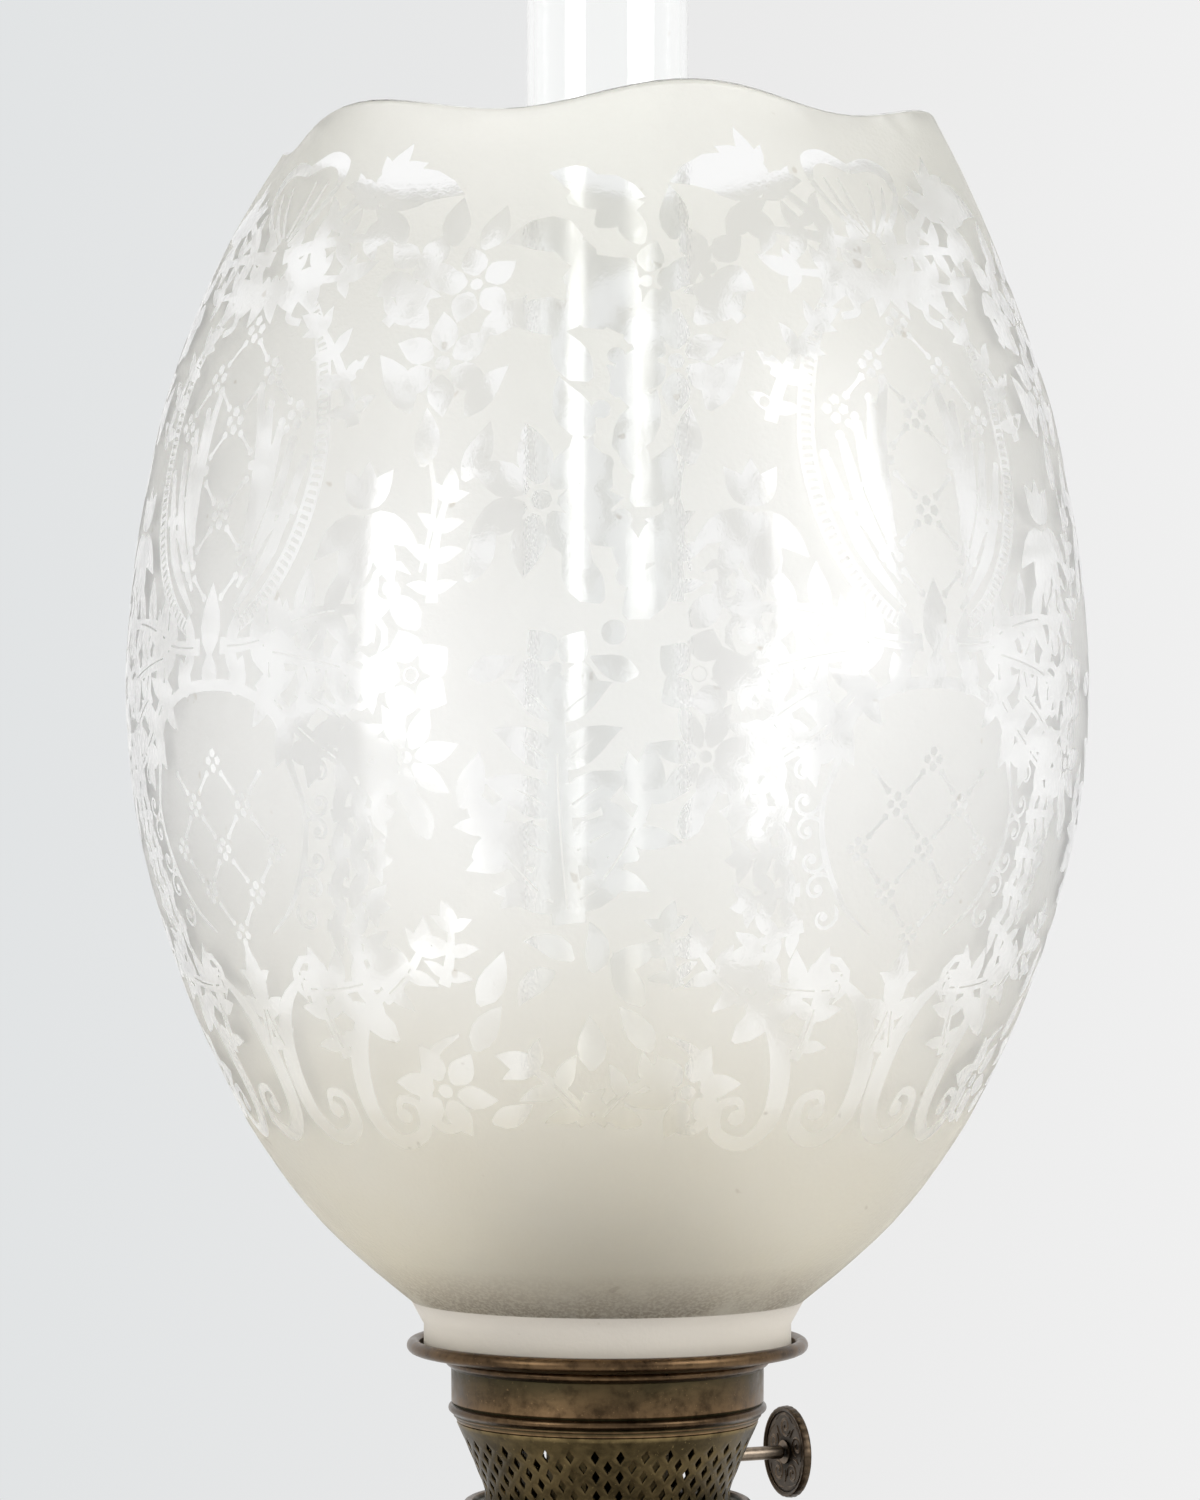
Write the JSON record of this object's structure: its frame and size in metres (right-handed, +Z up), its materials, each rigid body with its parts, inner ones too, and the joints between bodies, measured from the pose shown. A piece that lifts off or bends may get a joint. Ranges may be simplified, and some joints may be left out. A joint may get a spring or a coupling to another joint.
{
  "type": "oil lamp",
  "caption": "Brass oil lamp with a round-wick burner, a glass chimney and an egg-shaped frosted glass shade with an etched ornament and a wavy rim.",
  "frame": {"origin": "centre of the face that the lamp stands on", "axes": "+Z up along the lamp's axis, front faces -Y, the wick winder points to +X and a little back"},
  "size_m": [0.2062, 0.2062, 0.645],
  "materials": {
    "aged_brass": "aged, dark brown with rubbed edges",
    "dark_bronze": "dark patina, embossed",
    "spindle_steel": "dull",
    "ballast_iron": "rough",
    "green_felt": "felt",
    "wick_cotton": "woven",
    "clear_glass": "clear",
    "frosted_glass": "acid frosted, with a clear etched ornament"
  },
  "bodies": {
    "base": {"foot_felt": "green_felt", "foot_shell": "aged_brass", "foot_weight": "ballast_iron", "tie_rod": "spindle_steel", "tie_washer": "spindle_steel", "tie_nut": "spindle_steel", "foot_knop": "aged_brass", "column": "aged_brass", "font_cup": "aged_brass", "font_boss": "aged_brass", "font_lower": "aged_brass", "font_upper": "aged_brass", "font_belt": "aged_brass", "font_collar": "aged_brass"},
    "burner": {"burner_plug": "aged_brass", "burner_flange": "aged_brass", "outer_wick_tube": "aged_brass", "inner_draft_tube": "aged_brass", "chimney_gallery": "aged_brass", "basket": "aged_brass", "gallery_band": "aged_brass", "shade_ring": "aged_brass", "spindle_bush": "aged_brass", "spindle_bearing": "aged_brass"},
    "winder": {"winder_spindle": "spindle_steel", "winder_disc": "dark_bronze", "wick_wheel_left": "spindle_steel", "wick_wheel_right": "spindle_steel"},
    "wick": {"wick": "wick_cotton"},
    "chimney": {"chimney": "clear_glass"},
    "shade": {"shade": "frosted_glass"}
  },
  "joints": [
    {"name": "burner_lift", "type": "slide", "parent": "base", "child": "burner", "axis": [0, 0, 1], "range_m": [0, 0.12]},
    {"name": "winder_turn", "type": "hinge", "parent": "burner", "child": "winder", "pos_m": [-0.00676, 0.0145, 0.3172], "axis": [-0.9063, -0.4226, 0], "range_deg": [-150, 80]},
    {"name": "wick_raise", "type": "slide", "parent": "burner", "child": "wick", "axis": [0, 0, 1], "range_m": [-0.0095, 0.005]},
    {"name": "chimney_lift", "type": "slide", "parent": "burner", "child": "chimney", "axis": [0, 0, 1], "range_m": [0, 0.285]},
    {"name": "shade_lift", "type": "slide", "parent": "burner", "child": "shade", "axis": [0, 0, 1], "range_m": [0, 0.31]}
  ],
  "couplings": [
    {"joint": "wick_raise", "follows": "winder_turn", "m_per_rad": 0.0035}
  ]
}
